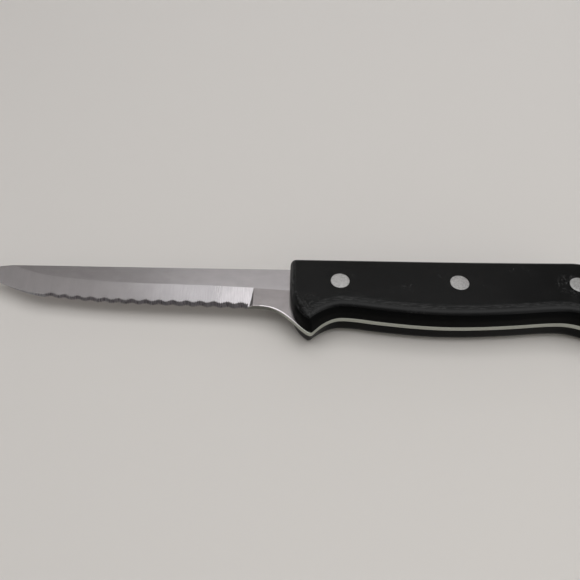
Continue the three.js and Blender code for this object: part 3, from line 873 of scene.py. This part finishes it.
class Finish:
    """A material with the few node patterns that the finishes share."""

    def __init__(self, name):
        self.material = bpy.data.materials.new(name)
        self.material.use_nodes = True
        self.tree = self.material.node_tree
        self.shader = self.tree.nodes["Principled BSDF"]
        self.place = self.add("ShaderNodeTexCoord").outputs["Object"]

    def add(self, kind, **settings):
        node = self.tree.nodes.new(kind)
        for key, value in settings.items():
            setattr(node, key, value)
        return node

    def feed(self, socket, value):
        if isinstance(value, bpy.types.NodeSocket):
            self.tree.links.new(value, socket)
        else:
            socket.default_value = value

    def set(self, **values):
        for key, value in values.items():
            self.feed(self.shader.inputs[key.replace("_", " ")], value)

    def metal(self, **values):
        """Sets the shader for bare metal and returns the finished material."""
        self.set(Metallic=1.0, **values)
        return self.material

    def noise(self, cells, detail=2.0, rough=0.5, turn=0.0):
        """Noise with so many cells per millimetre along X, Y and Z."""
        mapping = self.add("ShaderNodeMapping")
        self.feed(mapping.inputs["Vector"], self.place)
        mapping.inputs["Rotation"].default_value = (0, 0, turn)
        mapping.inputs["Scale"].default_value = [c / MM for c in cells]
        noise = self.add("ShaderNodeTexNoise")
        self.feed(noise.inputs["Vector"], mapping.outputs["Vector"])
        for key, value in (("Scale", 1.0), ("Detail", detail), ("Roughness", rough)):
            noise.inputs[key].default_value = value
        return noise.outputs["Fac"]

    def ramp(self, value, low, high, to_low=0.0, to_high=1.0, smooth_ends=True):
        """value between low and high, mapped on to_low and to_high."""
        node = self.add("ShaderNodeMapRange")
        node.interpolation_type = "SMOOTHSTEP" if smooth_ends else "LINEAR"
        for socket, number in zip(node.inputs, (value, low, high, to_low, to_high)):
            self.feed(socket, number)
        return node.outputs["Result"]

    def math(self, operation, a, b):
        node = self.add("ShaderNodeMath", operation=operation)
        self.feed(node.inputs[0], a)
        self.feed(node.inputs[1], b)
        return node.outputs["Value"]

    def axis(self, name):
        node = self.add("ShaderNodeSeparateXYZ")
        self.feed(node.inputs[0], self.place)
        return node.outputs[name]

    def near(self, x, y, inner, outer):
        """1 within inner millimetres of an upright line at x, y of the layout frame, 0 beyond outer."""
        middle = LAYOUT_ORIGIN + Vector((x, y, 0)) * MM
        dx = self.math("SUBTRACT", self.axis("X"), middle.x)
        dy = self.math("SUBTRACT", self.axis("Y"), middle.y)
        squares = self.math("ADD", self.math("MULTIPLY", dx, dx), self.math("MULTIPLY", dy, dy))
        return self.ramp(self.math("POWER", squares, 0.5), inner * MM, outer * MM, 1.0, 0.0)

    def along(self, run, start=0.0):
        """0 to 1 along X over a run of millimetres, which is counted from start in the layout frame."""
        low, high = (LAYOUT_ORIGIN.x + (start + x) * MM for x in run)
        return self.ramp(self.axis("X"), low, high)

    def weigh(self, a, b, share):
        """A share of a and the rest of b."""
        return self.math("ADD", self.math("MULTIPLY", a, share), self.math("MULTIPLY", b, 1 - share))

    def blend(self, share, a, b):
        node = self.add("ShaderNodeMix", data_type="RGBA")
        sockets = [s for s in node.inputs if s.type == "RGBA"]
        self.feed(node.inputs["Factor"], share)
        self.feed(sockets[0], a)
        self.feed(sockets[1], b)
        return [s for s in node.outputs if s.type == "RGBA"][0]

    def greys(self, share, tint, pair):
        """Between a dark and a light grey."""
        dark, light = pair
        return self.blend(share, grey(dark, tint), grey(light, tint))

    def tones(self, shade, tint, pair, span=NOISE_SPAN):
        """From a dark to a light grey while shade goes through its span."""
        return self.greys(self.ramp(shade, *span), tint, pair)

    def bump(self, height, depth, strength):
        """Bumps of that depth in millimetres."""
        node = self.add("ShaderNodeBump")
        node.inputs["Strength"].default_value = strength
        node.inputs["Distance"].default_value = depth * MM
        self.feed(node.inputs["Height"], height)
        return node.outputs["Normal"]


def ricasso_below(finish):
    """Mask of the ricasso below the line that carries the grind line on: there a darker grey is painted as
    shade.
    """
    line = LAYOUT_ORIGIN.y + (HEEL_Y + BEVEL_WIDTH) * MM
    heel = LAYOUT_ORIGIN.x - PLUNGE_X * MM
    tilt = finish.math("MULTIPLY", finish.axis("X"), HEEL_SLOPE)
    height = finish.math("ADD", finish.axis("Y"), tilt)
    level = line + heel * HEEL_SLOPE
    blur = RICASSO_BLUR * MM
    below = finish.ramp(height, level - blur, level + blur, 1.0, 0.0)
    return finish.math("MULTIPLY", below, finish.along(RICASSO_RUN, -PLUNGE_X))


def satin_steel():
    """The blank's flats: rolled and satin polished, with painted shade on the ricasso's lower part."""
    finish = Finish("satin_steel")
    lines = finish.noise((0.05, 5.0, 5.0), detail=4.0, rough=0.65)
    cloud = finish.noise((0.25, 0.4, 0.4), detail=4.0, rough=0.6)
    shade = finish.weigh(lines, cloud, share=0.35)
    polished = finish.tones(shade, STEEL_TINT, SATIN_GREYS)
    painted_darker = finish.tones(shade, RICASSO_SHADE_TINT, RICASSO_SHADE_GREYS)
    return finish.metal(
        Base_Color=finish.blend(ricasso_below(finish), polished, painted_darker),
        Roughness=finish.ramp(lines, *WIDE_SPAN, *SATIN_ROUGHNESS),
        Normal=finish.bump(lines, depth=0.004, strength=0.2),
    )


def ground_steel():
    """The bevel: ground across the blade, coarser towards the plunge, where a lighter grey is painted on as
    sheen.
    """
    finish = Finish("ground_steel")
    scratches = finish.noise((4.5, 0.12, 0.12), detail=5.0, rough=0.7, turn=math.radians(4))
    cloud = finish.noise((0.25, 0.2, 0.2), detail=3.0)
    coarse_and_sheen = finish.along(COARSE_RUN, -PLUNGE_X)
    deeper = finish.ramp(coarse_and_sheen, 0, 1, *LINE_DEPTH, smooth_ends=False)
    lines = finish.math("MULTIPLY", scratches, deeper)
    shade = finish.weigh(scratches, cloud, share=0.65)
    fine = finish.tones(shade, STEEL_TINT, FINE_GREYS)
    # The coarse lines are real; their much lighter grey is painted sheen.
    bright = finish.tones(shade, STEEL_TINT, COARSE_SHEEN_GREYS, COARSE_SPAN)
    rough = finish.ramp(scratches, *WIDE_SPAN, *SATIN_ROUGHNESS)
    return finish.metal(
        Base_Color=finish.blend(coarse_and_sheen, fine, bright),
        Roughness=finish.math("ADD", rough, finish.math("MULTIPLY", coarse_and_sheen, COARSE_ROUGHER)),
        Normal=finish.bump(lines, depth=0.006, strength=0.4),
    )


def fluted_steel():
    """The serrations, fresh from the wheel."""
    finish = Finish("fluted_steel")
    marks = finish.noise((9.0, 0.4, 0.4), detail=3.0, rough=0.6)
    return finish.metal(
        Base_Color=finish.greys(marks, STEEL_TINT, FLUTED_GREYS),
        Roughness=finish.ramp(marks, *NOISE_SPAN, *FLUTED_ROUGHNESS),
        Normal=finish.bump(marks, depth=0.004, strength=0.4),
    )


def sheared_steel():
    """Spine, heel and rivet holes: stamped through the sheet and dull; their very dark grey is partly
    painted shade.
    """
    finish = Finish("sheared_steel")
    lines = finish.noise((0.4, 0.4, 7.0), detail=3.0, rough=0.6)
    grain = finish.noise((3.0, 3.0, 3.0), detail=2.0)
    shade = finish.weigh(lines, grain, share=0.5)
    return finish.metal(
        Base_Color=finish.tones(shade, RIM_REFLECTION_TINT, SHEARED_AND_SHADE_GREYS),
        Roughness=finish.ramp(shade, *NOISE_SPAN, *SHEARED_ROUGHNESS),
        Normal=finish.bump(shade, depth=0.01, strength=0.35),
    )


def linished_steel():
    """The tang's rim, linished flush with the scales. Ahead of them it fades into the sheared grey, partly
    painted shade.
    """
    finish = Finish("linished_steel")
    lines = finish.noise((0.15, 0.15, 7.0), detail=3.0, rough=0.6)
    grain = finish.noise((1.5, 1.5, 3.0), detail=2.0)
    shade = finish.weigh(lines, grain, share=0.5)
    # The dark grey ahead of the scales is partly painted shade.
    sheared = finish.tones(shade, RIM_REFLECTION_TINT, SHEARED_AND_SHADE_GREYS)
    bright = finish.tones(shade, RIM_REFLECTION_TINT, LINISHED_GREYS)
    return finish.metal(
        Base_Color=finish.blend(finish.along(LINISHED_RUN), sheared, bright),
        Roughness=finish.ramp(shade, *NOISE_SPAN, *LINISHED_ROUGHNESS),
        Normal=finish.bump(shade, depth=0.008, strength=0.3),
    )


def painted_highlight_steel():
    """The choil's upper corner, painted light as a highlight, less so towards the guard."""
    finish = Finish("painted_highlight_steel")
    lines = finish.noise((0.6, 0.6, 6.0), detail=3.0, rough=0.6)
    highlight = finish.greys(lines, STEEL_TINT, HIGHLIGHT_GREYS)
    return finish.metal(
        Base_Color=finish.blend(finish.along(HIGHLIGHT_FADE_RUN), highlight, grey(HIGHLIGHT_FADED_GREY, RIM_REFLECTION_TINT)),
        Roughness=finish.ramp(lines, *NOISE_SPAN, *HIGHLIGHT_ROUGHNESS),
    )


def crease_wear_and_highlight(finish):
    """Mask of the crease where the upper face turns into its rounding: palms wear it there, and its light
    streaks are partly a painted highlight.
    """
    level = finish.axis("Z")
    face = 2 * FACE_Z  # above the floor
    under_top = finish.ramp(level, *((face - depth) * MM for depth in CREASE_TOP), 1.0, 0.0)
    over_foot = finish.ramp(level, *((face - depth) * MM for depth in CREASE_FOOT))
    return finish.math("MULTIPLY", under_top, over_foot)


def chafed_front_and_highlight(finish):
    """Mask of the haze that wiping leaves on the front of the scales, streaked along the wall, partly a
    painted highlight.
    """
    streaks = finish.noise((1.5, 0.4, 2.5), detail=3.0, rough=0.6)
    low, high = (LAYOUT_ORIGIN.x + x * MM for x in (CHAFED_FROM, CHAFED_TO))
    ahead = finish.ramp(finish.axis("X"), low, high, 1.0, 0.0)
    return finish.math("MULTIPLY", finish.ramp(streaks, *NOISE_SPAN, *HAZE_AND_HIGHLIGHT), ahead)


def black_plastic():
    """Black moulded plastic, worn smooth, scuffed round the rear rivet; haze on the front and crease
    streaks are partly painted highlights.
    """
    finish = Finish("black_plastic")
    grain = finish.noise((3.2, 3.2, 3.2), detail=3.0, rough=0.6)
    cloud = finish.noise((0.09, 0.14, 0.14), detail=4.0, rough=0.6)
    specks = finish.noise((1.6, 1.1, 1.1), detail=4.0, rough=0.7, turn=math.radians(-18))
    streaks = finish.noise((0.35, 2.2, 2.2), detail=4.0, rough=0.65)
    guard = finish.math("MULTIPLY", finish.near(**GUARD_SCUFF), GUARD_WEAR)
    places = finish.math("MAXIMUM", guard, finish.near(**REAR_SCUFF))
    worn = finish.math("MAXIMUM", places, finish.ramp(cloud, *CLOUD_SPAN, 0.0, CLOUD_WEAR))
    speckled = finish.math("MULTIPLY", finish.ramp(specks, *SPECK_SPAN), worn)
    streaks = finish.ramp(streaks, *STREAK_SPAN, 0.0, STREAK_WEAR_AND_HIGHLIGHT)
    streaked = finish.math("MULTIPLY", streaks, crease_wear_and_highlight(finish))
    scuffs_and_highlights = finish.math("MAXIMUM", finish.math("MAXIMUM", speckled, streaked), chafed_front_and_highlight(finish))
    rough = finish.ramp(cloud, *NOISE_SPAN, *MOULDED_ROUGHNESS)
    finish.set(
        Base_Color=finish.blend(scuffs_and_highlights, grey(MOULDED_GREY, COOL_TINT), grey(SCUFF_AND_HIGHLIGHT_GREY)),
        Roughness=finish.math("ADD", rough, finish.math("MULTIPLY", scuffs_and_highlights, SCUFF_ROUGHER)),
        Normal=finish.bump(grain, depth=0.012, strength=0.22),
        IOR=PLASTIC_IOR,
        Specular_IOR_Level=MOULDED_SHINE,
    )
    return finish.material


def shaded_wall_plastic(name, shine):
    """A scale's sides next to the tang, with fine lines along the handle, made darker and less shiny than
    the face as painted shade.
    """
    finish = Finish(name)
    lines = finish.noise((0.3, 3.0, 6.0), detail=3.0, rough=0.6)
    ground = finish.greys(lines, COOL_TINT, WALL_SHADE_GREYS)
    finish.set(
        Base_Color=finish.blend(chafed_front_and_highlight(finish), ground, grey(SCUFF_AND_HIGHLIGHT_GREY)),
        Roughness=finish.ramp(lines, *NOISE_SPAN, *WALL_ROUGHNESS),
        Normal=finish.bump(lines, depth=0.01, strength=0.25),
        IOR=PLASTIC_IOR,
        Specular_IOR_Level=shine,
    )
    return finish.material


def rivet_metal():
    """Aluminium rivets, ground flush with the scales, with a matt grain."""
    finish = Finish("rivet_metal")
    grain = finish.noise((2.4, 2.4, 2.4), detail=3.0, rough=0.65)
    lines = finish.noise((0.6, 5.0, 5.0), detail=2.0, turn=math.radians(35))
    shade = finish.weigh(grain, lines, share=0.75)
    return finish.metal(
        Base_Color=finish.tones(shade, RIVET_TINT, RIVET_GREYS, RIVET_SPAN),
        Roughness=finish.ramp(shade, *NOISE_SPAN, *RIVET_ROUGHNESS),
        Normal=finish.bump(shade, depth=0.02, strength=0.4),
    )


def card(name, colour, rough):
    """A plain matt surface."""
    finish = Finish(name)
    finish.set(Base_Color=colour, Roughness=rough)
    return finish.material


# Studio. Lengths here are in metres, counted from the knife's middle on the floor.
FLOOR_SIZE = 8.0
FLOOR_COLOUR = (0.66, 0.633, 0.608, 1.0)
FLOOR_ROUGHNESS = 0.6
CARD_ROUGHNESS = 0.8
CEILING = 1.0
WORLD_LIGHT = 0.74
SOFTBOXES = {  # on the ceiling: extent along X and Y, radiance, and whether metal mirrors it
    "overhead_softbox": ((-0.6, 1.0), (-0.16, 0.18), 0.8, True),
    "key_softbox": ((-1.0, 1.0), (-0.4, 0.66), 0.66, False),
    "rear_softbox_left": ((-0.2, 0.02), (0.42, 0.66), 2.3, True),
    "rear_softbox_right": ((0.02, 0.9), (0.22, 0.62), 0.4, True),
}
FILL = {"x": (-0.05, 0.6), "y": -0.35, "z": (0.05, 0.35), "radiance": 0.5, "tint": (1.0, 0.96, 0.8)}
CARDS = {  # grey sheets that the steel mirrors: both ends of one side, the way across, and the grey
    "card_left": ((-1.9, 0.2, CEILING), (-0.29, 0.2, CEILING), (0, 0.44, 0), 0.72),
    "card_left_far": ((-1.9, 0.64, CEILING), (-0.29, 0.64, CEILING), (0, 1.06, 0), 0.58),
    "card_middle": ((-0.28, 0.77, CEILING), (0.5, 0.77, CEILING), (0, 0.93, 0), 0.85),
    "card_right": ((0.51, 0.63, CEILING), (1.9, 0.63, CEILING), (0, 1.07, 0), 0.3),
    "card_front": ((-1.0, -0.9, 0.3), (0.55, -0.9, 0.3), (0, 0.54, 0.9), 0.26),
    "card_side": ((-1.15, -0.75, 0.3), (-1.15, 0.25, 0.3), (0, 0, 0.7), 0.2),
    "card_back": ((-1.5, 0.35, 0.03), (-0.55, 1.45, 0.03), (0, 0, 0.55), 0.12),
}
LAMP_SPREAD = 4.0  # watts per square metre of lamp for each unit of radiance


def add_sheet(name, start, end, across, material):
    """A flat sheet with one side from start to end, and the other one across from it."""
    corners = [np.array(corner, float) for corner in (start, end, end, start)]
    corners[2] += across
    corners[3] += across
    mesh = bpy.data.meshes.new(name)
    mesh.from_pydata(corners, [], [range(len(corners))])
    mesh.materials.append(material)
    sheet = add_object(name, mesh)
    return sheet


def add_lamp(name, across, along, radiance):
    """A rectangular lamp as wide and long as the two ranges, facing down."""
    lamp = bpy.data.lights.new(name, "AREA")
    lamp.shape = "RECTANGLE"
    lamp.size = across[1] - across[0]
    lamp.size_y = along[1] - along[0]
    lamp.energy = radiance * lamp.size * lamp.size_y * LAMP_SPREAD
    return add_object(name, lamp)


def add_softbox(name, across, along, radiance, mirrored):
    """A softbox on the ceiling."""
    softbox = add_lamp(name, across, along, radiance)
    softbox.location = (sum(across) / 2, sum(along) / 2, CEILING)
    softbox.visible_glossy = mirrored


def add_fill(name, box):
    """A low softbox that stands in front of the knife and faces it. Metal doesn't mirror it."""
    softbox = add_lamp(name, box["x"], box["z"], box["radiance"])
    softbox.location = (sum(box["x"]) / 2, box["y"], sum(box["z"]) / 2)
    softbox.rotation_euler = (math.pi / 2, 0, 0)
    softbox.data.color = box["tint"]
    softbox.visible_glossy = False
    softbox.visible_camera = False


def make_studio():
    half = FLOOR_SIZE / 2
    pale = card("pale_floor", FLOOR_COLOUR, FLOOR_ROUGHNESS)
    add_sheet("floor", (-half, -half, 0), (half, -half, 0), (0, FLOOR_SIZE, 0), pale)
    for name, (start, end, across, shade) in CARDS.items():
        sheet = add_sheet(name, start, end, across, card(name, grey(shade), CARD_ROUGHNESS))
        sheet.visible_camera = False
    for name, box in SOFTBOXES.items():
        add_softbox(name, *box)
    add_fill("front_fill", FILL)
    world = bpy.data.worlds.new("studio")
    world.use_nodes = True
    background = world.node_tree.nodes["Background"]
    background.inputs["Color"].default_value = grey(WORLD_LIGHT)
    bpy.context.scene.world = world


def make_camera():
    tilt, turn, roll = (math.radians(a) for a in (CAMERA_TILT, CAMERA_TURN, CAMERA_ROLL))
    forward = Vector((-math.sin(turn) * math.cos(tilt), math.cos(turn) * math.cos(tilt), -math.sin(tilt)))
    level = Vector((math.cos(turn), math.sin(turn), 0))
    upright = level.cross(forward)
    right = level * math.cos(roll) + upright * math.sin(roll)
    up = upright * math.cos(roll) - level * math.sin(roll)
    data = bpy.data.cameras.new("camera")
    data.lens = CAMERA_LENS
    data.clip_start = CLIP_START
    camera = add_object("camera", data)
    turned_to = Matrix((right, up, -forward)).transposed().to_4x4()
    camera.matrix_world = Matrix.Translation(HEAD_MIDDLE + Vector(CAMERA_AT) * MM) @ turned_to
    bpy.context.scene.camera = camera


def main():
    make_camera()
    make_studio()
    make_blade([
        satin_steel(),
        ground_steel(),
        fluted_steel(),
        sheared_steel(),
        linished_steel(),
        painted_highlight_steel(),
    ])
    moulded = black_plastic()
    make_scale("scale_upper", 1, [moulded, shaded_wall_plastic("ground_plastic_upper", UPPER_WALL_SHADE_SHINE)])
    make_scale("scale_lower", -1, [moulded, shaded_wall_plastic("ground_plastic_lower", LOWER_WALL_SHADE_SHINE)])
    metal = rivet_metal()
    for place in RIVET_X:
        make_rivet(place, metal)
    bpy.context.scene.view_settings.view_transform = "Standard"


main()
